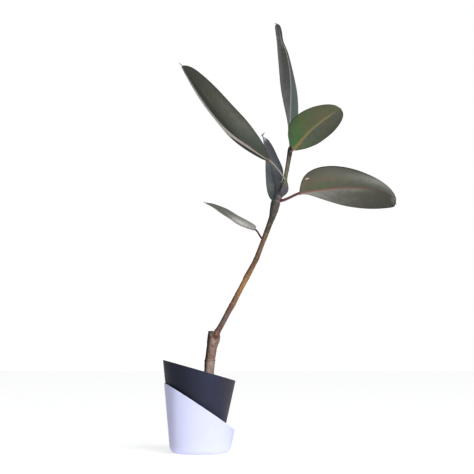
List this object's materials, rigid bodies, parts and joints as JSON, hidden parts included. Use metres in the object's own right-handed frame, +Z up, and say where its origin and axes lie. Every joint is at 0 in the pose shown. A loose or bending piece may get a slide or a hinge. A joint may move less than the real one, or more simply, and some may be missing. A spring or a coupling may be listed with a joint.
{
  "type": "potted rubber plant",
  "caption": "Young rubber plant with a leaning stem and broad leaves, in a dark inner pot inside a white outer pot cut on the slant.",
  "frame": {"origin": "centre of the outer pot's flat underside, on the surface that the pot stands on", "axes": "+Z up, +Y to the back, +X to the right in the picture, towards which the stem leans"},
  "size_m": [0.4568, 0.1805, 0.8805],
  "materials": {
    "white_plastic": "satin",
    "charcoal_plastic": "satin",
    "potting_soil": "matte",
    "trunk_bark": "matte",
    "stem_bark": "matte",
    "leaf_green": "satin"
  },
  "bodies": {
    "root": {"pot_outer": "white_plastic", "pot_inner": "charcoal_plastic", "soil": "potting_soil", "trunk": "trunk_bark", "stem": "stem_bark", "leaf_top": "leaf_green", "leaf_upper_right": "leaf_green", "leaf_right": "leaf_green", "leaf_upper_left": "leaf_green", "leaf_young": "leaf_green", "leaf_lower_left": "leaf_green"}
  },
  "joints": []
}
